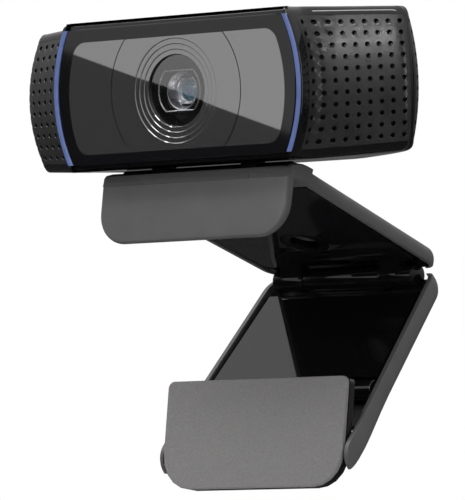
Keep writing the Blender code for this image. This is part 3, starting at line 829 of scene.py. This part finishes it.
# ---- Clip: x across, s along the arm and t above its underside, in millimetres ----
ARM_THICK = 3.5
ARM_FRONT, ARM_REAR = -19.4, 25.4
ARM_TAPER_START = -24.5
ARM_HALF_FRONT, ARM_HALF_REAR = 23.0, 20.9
ARM_ROUND = 2.5
ARM_LIFT, ARM_FLOOR = 1.0, 1.5
ARM_END_ROUND = 3.0
RIM = 1.15                   # width of the grey rim round the inset black panels
NOSE_PROFILE = [(-26.6, -0.6), (-26.6, 1.2), (-26.3, 1.75), (-24.6, 2.75), (-22.5, 3.3), (-21.0, 3.48),
                (-19.2, 3.5), (-19.2, 0.02), (-22.0, 0.0), (-24.0, 0.0), (-24.3, -0.6)]
NOSE_SLOT_FROM, NOSE_SLOT_TO = 8.7, 13.3    # the head's lugs pass through the nose here
FLAP_DROP = 12.3
FLAP_LEAN = math.radians(10)
FLAP_MATRIX = CLIP_MATRIX @ Matrix.Translation((0, -26.6, 0.4)) @ Matrix.Rotation(FLAP_LEAN, 4, "X")
PAD_FACE = 3.6               # the pad's free face, behind the flap's outer face
TILT_BARREL_RADIUS = 2.02
TILT_BARREL_END = 20.6
KNUCKLE_RADIUS = 2.4
KNUCKLE_MIDDLE = 9.4         # half length of the leg's knuckle
KNUCKLE_FROM, KNUCKLE_TO = 9.8, 17.3
HINGE_RISE = (CLIP_MATRIX.inverted() @ HINGE).z + KNUCKLE_RADIUS    # top of the knuckles, along t


def arm_half(s):
    """Half width of the arm, which narrows to the rear."""
    part = (s - ARM_TAPER_START) / (ARM_REAR - ARM_TAPER_START)
    return ARM_HALF_FRONT + (ARM_HALF_REAR - ARM_HALF_FRONT) * part


def channel_section(half, top, lift, round_off, floor, rim=0.0):
    """Half of a shallow tray's section: floor, wall, rim, rounded outer corner, back."""
    wall = half - RIM
    points = [(0, floor), (wall, floor), (wall, rim + lift * 0.15), (wall + 0.12, rim), (half - 0.22, rim),
              (half - 0.06, rim + lift * 0.07), (half, rim + lift * 0.25)]
    radius = min(round_off, abs(top - rim) - 0.3)
    turn = 1 if top > rim else -1
    for step in range(9):
        angle = math.radians(90 * step / 8)
        points.append((half - radius + radius * math.cos(angle),
                       top + turn * radius * (math.sin(angle) - 1)))
    return points + [(0, top)]


def mirrored_loft(data, sections, place, closed_from=None):
    """Skin half sections and their mirror image; place turns (x, station, height) into a point."""
    for side in (-1, 1):
        rows = [[place(side * x, station, height) for x, height in points] for station, points in sections]
        made = skin(data, rows)
        for row in (made[0], made[-1]):
            data.faces.new(row if side > 0 else row[::-1])
        if closed_from is None:
            continue
        for first, second in zip(made, made[1:]):
            station = sections[made.index(first)][0]
            if station >= closed_from - 0.001:
                data.faces.new((first[-1], first[0], second[0], second[-1]))


def prism(data, profile, low_x, high_x, place, bevel=0.2):
    """A bar along X with a given profile and slightly rounded ends."""
    middle = [sum(point[axis] for point in profile) / len(profile) for axis in (0, 1)]
    rows = []
    for x, inset in ((low_x, bevel), (low_x + bevel, 0), (high_x - bevel, 0), (high_x, bevel)):
        row = []
        for s, t in profile:
            reach = max(0.01, math.hypot(s - middle[0], t - middle[1]))
            shrink = 1 - inset / reach
            row.append(place(x, middle[0] + (s - middle[0]) * shrink, middle[1] + (t - middle[1]) * shrink))
        rows.append(row)
    made = skin(data, rows, closed=True)
    data.faces.new(made[0])
    data.faces.new(made[-1][::-1])


def rounded_corner_outline(half, low, high, corner_low, corner_high):
    """Right half of a plate's outline from the top middle round to the bottom middle."""
    top = arc((half - corner_high, high - corner_high), corner_high, 90, 0, 6)
    bottom = arc((half - corner_low, low + corner_low), corner_low, 0, -90, 12)
    right = [(half * 0.33, high), (half * 0.66, high)] + top + bottom
    return right + [(-x, z) for x, z in reversed(right)]


def rounded_plate(data, outline_at, faces, place):
    """A plate with softened edges: outline_at(inset) gives its outline, faces its depths."""
    rows = []
    for inset, depth in faces:
        rows.append([place(x, depth(z) if callable(depth) else depth, z) for x, z in outline_at(inset)])
    made = skin(data, rows, closed=True)
    data.faces.new(made[0][::-1])
    data.faces.new(made[-1])


def in_clip(x, s, t):
    return CLIP_MATRIX @ Vector((x, s, t))


def in_flap(x, y, z):
    return FLAP_MATRIX @ Vector((x, y, z))


def flap_inner(z):
    """Depth of the flap's inner face: the flap thins towards its lower edge."""
    return 2.3 - 0.8 * min(1.0, max(0.0, -z / FLAP_DROP)) ** 1.5


def add_arm(data):
    """The arm as a shallow tray, rounded at its rear end."""
    sections = []
    for step in range(9):
        s = ARM_FRONT + (ARM_REAR - ARM_END_ROUND - ARM_FRONT) * step / 8
        sections.append((s, channel_section(arm_half(s), ARM_THICK, ARM_LIFT, ARM_ROUND, ARM_FLOOR)))
    for step in range(1, 8):
        angle = math.radians(90 * step / 8)
        s = ARM_REAR - ARM_END_ROUND + ARM_END_ROUND * math.sin(angle)
        drop = 1 - math.cos(angle)
        floor = min(ARM_FLOOR, ARM_THICK - 1.7 * drop - 0.5)
        sections.append((s, channel_section(arm_half(s) - 2.6 * drop, ARM_THICK - 1.7 * drop, ARM_LIFT,
                                            ARM_ROUND, floor)))
    mirrored_loft(data, sections, in_clip)


def add_nose(data):
    """The nose at the tilt hinge: three full bars, with thin webs under the head's two lugs."""
    end = arm_half(-24)
    for low_x, high_x, bevel in ((-end, -NOSE_SLOT_TO, 0.4), (-NOSE_SLOT_FROM, NOSE_SLOT_FROM, 0.1),
                                 (NOSE_SLOT_TO, end, 0.4)):
        prism(data, NOSE_PROFILE, low_x, high_x, in_clip, bevel)
    web = NOSE_PROFILE[:2] + [(-25.9, 1.2), (-25.9, 0.1), (-20.0, 0.1), (-20.0, -0.1), (-24.2, -0.1),
                              NOSE_PROFILE[-1]]
    for low_x, high_x in ((-13.4, -8.6), (8.6, 13.4)):
        prism(data, web, low_x, high_x, in_clip, 0.0)


def add_flap(data):
    """The front flap, hanging from the nose."""
    def outline(inset):
        half = ARM_HALF_FRONT - inset
        return rounded_corner_outline(half, -FLAP_DROP + inset, 1.0, 6.2 - inset, 0.6)

    faces = [(0.75, 0.0), (0.35, 0.08), (0.1, 0.3), (0.0, 0.65), (0.0, lambda z: flap_inner(z) - 0.5),
             (0.15, lambda z: flap_inner(z) - 0.15), (0.5, flap_inner)]
    rounded_plate(data, outline, faces, in_flap)


def make_flap_pad():
    """The rubber pad behind the flap, against its inner face."""
    def outline(inset):
        half = ARM_HALF_FRONT - 2.0 - inset
        return rounded_corner_outline(half, -FLAP_DROP + 1.5 + inset, -1.5 - inset, 4.6 - inset, 1.0 - inset)

    data = bmesh.new()
    faces = [(0.0, lambda z: flap_inner(z) + 0.12), (0.0, 3.3), (0.1, 3.52), (0.3, PAD_FACE)]
    rounded_plate(data, outline, faces, in_flap)
    publish(data, "flap_rubber", "clip", "rubber_grey", replaces=("flap_pad",), smooth=30)


def make_clip():
    """The arm, its nose at the tilt hinge and the front flap, as one moulding, and what it carries."""
    data = bmesh.new()
    add_arm(data)
    add_nose(data)
    add_flap(data)
    make_flap_pad()
    publish(data, "clip_moulding", "clip", "satin_grey", replaces=("clip_shell",), smooth=28)
    barrel = bmesh.new()
    circle = arc((TILT_AXIS.y, TILT_AXIS.z), TILT_BARREL_RADIUS, 0, 345, 23)
    for low_x, high_x in ((-TILT_BARREL_END, -NOSE_SLOT_TO), (-NOSE_SLOT_FROM, NOSE_SLOT_FROM),
                          (NOSE_SLOT_TO, TILT_BARREL_END)):
        prism(barrel, circle, low_x, high_x, lambda x, y, z: Vector((x, y, z)), 0.3)
    # painted shade: the barrel is near-black with its shine turned down, so it reads as shaded under the
    # head
    publish(barrel, "tilt_barrel", "clip", "painted_shade_black", smooth=35)
    # painted shade: the cover over the hinge is near-black with almost no shine
    lid = bmesh.new()
    over = [(20.8, 1.7), (24.9, 1.7), (24.9, HINGE_RISE + 0.12), (23.1, HINGE_RISE + 0.12), (20.8, 0.25)]
    prism(lid, over, -KNUCKLE_TO, KNUCKLE_TO, in_clip, 0.1)
    beside = [(21.4, 1.7), (24.9, 1.7), (24.9, 0.1), (24.4, -0.05), (21.4, -0.05)]
    for low_x, high_x in ((-18.8, -17.2), (17.2, 18.8)):
        prism(lid, beside, low_x, high_x, in_clip, 0.15)
    publish(lid, "hinge_cover", "clip", "painted_shade_black", smooth=30)
    knuckles("clip_knuckles", "clip", ((-KNUCKLE_TO, -KNUCKLE_FROM), (KNUCKLE_FROM, KNUCKLE_TO)))


def knuckles(name, body, spans):
    """Polished barrels about the leg hinge with rounded ends."""
    data = bmesh.new()
    for low, high in spans:
        rows = []
        for x, inset in ((low, 0.35), (low + 0.1, 0.14), (low + 0.35, 0.0), (high - 0.35, 0.0),
                         (high - 0.1, 0.14), (high, 0.35)):
            ring = arc((HINGE.y, HINGE.z), KNUCKLE_RADIUS - inset, 0, 352.5, 47)
            rows.append([Vector((x, y, z)) for y, z in ring])
        made = skin(data, rows, closed=True)
        data.faces.new(made[0])
        data.faces.new(made[-1][::-1])
    publish(data, name, body, "gloss_black", smooth=35)


# ---- Leg: u down the leg and v across its thickness, both from its hinge, in millimetres ----
LEG_TOP, LEG_TIP = -1.4, 47.9
LEG_HEAD_ROUND = 3.2
LEG_RIM, LEG_BACK, LEG_FLOOR = -0.5, -5.6, -4.3
LEG_LIFT = -1.0
LEG_HALF_TOP, LEG_FLARE = 20.7, 2.6
FORK_START, FORK_TIP_START = 36.5, 44.0
FORK_INNER = 22.4
FORK_MIDDLE = -4.4           # the fork's tips close about this height


def leg_half(u):
    """Half width of the leg, which widens down to its fork."""
    return LEG_HALF_TOP + LEG_FLARE * min(1.0, max(0.0, u) / 40.0)


def in_leg(x, u, v):
    return LEG_MATRIX @ Vector((x, -u, v))


def leg_round(u):
    """The back's rounded corners tighten towards the fork, which has to cover the foot's hinge pin."""
    return 2.7 - 1.2 * min(1.0, max(0.0, (u - 30.0) / 12.0))


def leg_section(u, narrower=0.0):
    return channel_section(leg_half(u) - narrower, LEG_BACK, LEG_LIFT, leg_round(u), LEG_FLOOR, LEG_RIM)


def forked(points):
    """A leg section without its middle: only the fork's arm outside FORK_INNER stays."""
    last = max(index for index, (x, height) in enumerate(points) if x >= FORK_INNER)
    (x_out, z_out), (x_in, z_in) = points[last], points[last + 1]
    edge = z_out + (z_in - z_out) * (x_out - FORK_INNER) / (x_out - x_in)
    return [(x, height) if x >= FORK_INNER else (FORK_INNER, max(height, edge)) for x, height in points]


def make_leg():
    """The leg: a shallow tray that forks round the foot."""
    data = bmesh.new()
    sections = []
    for step in range(8, 0, -1):
        angle = math.radians(90 * step / 8)
        u = LEG_TOP + LEG_HEAD_ROUND - LEG_HEAD_ROUND * math.sin(angle)
        drop = 1 - math.cos(angle)
        sections.append((u, channel_section(leg_half(u) - 1.6 * drop, LEG_BACK + 2.3 * drop, LEG_LIFT, 2.7,
                                            LEG_FLOOR + 1.7 * drop, LEG_RIM - 0.5 * drop)))
    for step in range(9):
        u = LEG_TOP + LEG_HEAD_ROUND + (FORK_START - LEG_TOP - LEG_HEAD_ROUND) * step / 8
        sections.append((u, leg_section(u)))
    for u in (FORK_START + 0.001, 39.0, 41.5, FORK_TIP_START):
        sections.append((u, forked(leg_section(u))))
    for step in range(1, 9):
        angle = math.radians(90 * step / 8.4)
        u = FORK_TIP_START + (LEG_TIP - FORK_TIP_START) * math.sin(angle)
        keep = math.cos(angle)
        sections.append((u, [(x, FORK_MIDDLE + (height - FORK_MIDDLE) * keep)
                             for x, height in forked(leg_section(u, 0.25 * (1 - keep)))]))
    mirrored_loft(data, sections, in_leg, closed_from=FORK_START + 0.001)
    bmesh.ops.remove_doubles(data, verts=data.verts, dist=0.0004)
    bmesh.ops.dissolve_degenerate(data, dist=0.0004, edges=data.edges)
    knuckles("leg_knuckle", "leg", ((-KNUCKLE_MIDDLE, KNUCKLE_MIDDLE),))
    publish(data, "leg_moulding", "leg", "satin_grey", replaces=("leg_shell",), smooth=28)


# ---- Light ----
def area_light(name, place, aim, size, power):
    data = bpy.data.lights.new(name, "AREA")
    data.shape = "RECTANGLE"
    data.size, data.size_y = size
    data.energy = power
    light = linked(name, data)
    light.location = place
    light.rotation_euler = (Vector(aim) - Vector(place)).to_track_quat("-Z", "Y").to_euler()
    return light


def make_world():
    """A white room to the eye; to the surfaces, bright above, dim below and dark in front."""
    world = bpy.data.worlds.new("studio")
    world.use_nodes = True
    tree = world.node_tree
    background = tree.nodes["Background"]
    direction = tree.nodes.new("ShaderNodeTexCoord").outputs["Generated"]
    split = tree.nodes.new("ShaderNodeSeparateXYZ")
    tree.links.new(direction, split.inputs[0])
    rise = remap(tree, split.outputs["Z"], -0.15, 0.75, 0.06, 1.0)
    facing = tree.nodes.new("ShaderNodeVectorMath")
    facing.operation = "DOT_PRODUCT"
    facing.inputs[1].default_value = DARK_SIDE
    tree.links.new(direction, facing.inputs[0])
    shade = remap(tree, facing.outputs["Value"], 0.70, 0.93, 1.0, 0.06)
    room = tree.nodes.new("ShaderNodeMath")
    room.operation = "MULTIPLY"
    tree.links.new(rise, room.inputs[0])
    tree.links.new(shade, room.inputs[1])
    seen = tree.nodes.new("ShaderNodeLightPath").outputs["Is Camera Ray"]
    choose = tree.nodes.new("ShaderNodeMix")
    tree.links.new(seen, choose.inputs["Factor"])
    tree.links.new(room.outputs[0], choose.inputs["A"])
    choose.inputs["B"].default_value = 1.0
    tree.links.new(choose.outputs["Result"], background.inputs["Strength"])
    background.inputs["Color"].default_value = (1, 1, 1, 1)
    bpy.context.scene.world = world
    bpy.context.scene.view_settings.view_transform = "Standard"


def glare_card(camera):
    """A soft box whose lower edge is mirrored in the window as a diagonal line."""
    window_y = FRONT_Y * MM
    eye = camera.matrix_world.translation
    mirrored_eye = Vector((eye.x, 2 * window_y - eye.y, eye.z))
    ends = []
    for x, z in (GLARE_FROM, GLARE_TO):
        spot = Vector((x * MM, window_y, z * MM))
        ends.append(spot + (spot - mirrored_eye).normalized() * GLARE_DISTANCE)
    along = (ends[1] - ends[0]).normalized()
    middle = Vector((0, window_y, MID_Z * MM))
    towards = (ends[0] - middle).normalized()
    across = along.cross(towards).normalized()
    if across.z < 0:
        across = -across
    place = (ends[0] + ends[1]) / 2 + across * GLARE_SIZE[1] / 2
    light = area_light("glare_card", place, middle, GLARE_SIZE, GLARE_POWER)
    facing = (place - middle).normalized()
    facing = (facing - along * facing.dot(along)).normalized()
    up = facing.cross(along)
    light.matrix_world = (Matrix.Translation(place)
                          @ Matrix((along, up, facing)).transposed().to_4x4())


def make_studio(camera):
    make_world()
    glare_card(camera)
    area_light("top_strip", (-0.35, -0.08, 0.75), (0, 0, 0.02), (1.2, 0.06), 4.0)
    area_light("top_panel", (-0.60, -0.36, 0.75), (0, 0, 0.02), (0.34, 0.34), 2.6)
    area_light("front_softbox", (0.03, -0.34, 0.64), (0, -0.02, 0.0), (0.5, 0.12), 2.0)
    area_light("wing_strip", (0.02, -0.66, 0.34), (0, -0.02, 0.02), (0.3, 0.05), 1.1)
    area_light("right_strip", (0.60, -0.10, 0.05), (0, 0, 0), (0.05, 0.4), 0.7)


FLOOR_HALF = 0.7
FLOOR_HEIGHT = -0.12


def make_floor():
    """Pale paper well below the object, unseen in its glossy faces."""
    data = bmesh.new()
    bmesh.ops.create_grid(data, x_segments=8, y_segments=8, size=FLOOR_HALF)
    bmesh.ops.translate(data, verts=data.verts, vec=(0, 0, FLOOR_HEIGHT))
    floor = mesh_object("floor", data)
    material, tree, shader = new_material("floor_paper", (0.9, 0.9, 0.9), 0.7)
    vary_colour(tree, shader, 30, 4, [(0.3, (0.88, 0.88, 0.88)), (0.7, (0.92, 0.92, 0.92))])
    floor.data.materials.append(material)
    floor.visible_glossy = False
    floor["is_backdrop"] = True


photo_camera = make_camera()
make_studio(photo_camera)
make_floor()
dress_cad_nodes()

front = make_shell(FRONT_PLAN, "front_shell_moulding", "front_shell", STRIP_START, STRIP_STOP)
drill(front, LENS_HOLE_RADIUS, LENS_HOLE_DEPTH)
make_shell(REAR_PLAN, "rear_shell_moulding", "rear_shell", *REAR_RECESS)
for side_name, side_sign in (("left", -1), ("right", 1)):
    perforated_strip(FRONT_PLAN, side_name + "_perforated_strip", side_sign, STRIP_START + 0.05,
                     STRIP_STOP, STRIP_COLUMNS, (side_name + "_microphone_grille",))
    perforated_strip(REAR_PLAN, side_name + "_rear_strip", side_sign, REAR_RECESS[0] + 0.1,
                     REAR_RECESS[1] - 0.02, REAR_COLUMNS)
make_window()
make_print()
make_light_arcs()
make_lens()
make_clip()
make_leg()
softened(["clip_underside"], "clip_inner_panel", "clip", "gloss_black", 0.2, 2)
softened(["leg_panel"], "leg_inner_panel", "leg", "gloss_black", 0.15, 2)
softened(["leg_crossbar"], "leg_stop_bar", "leg", "gloss_black", 0.2, 2)
softened(["foot_plate"], "foot_backing", "foot", "gloss_black", 0.2, 2)
softened(["foot_pad"], "foot_rubber", "foot", "rubber_grey", 0.3, 3)

[[list(corner) for corner in box] for box in (CAD_BOX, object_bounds())]
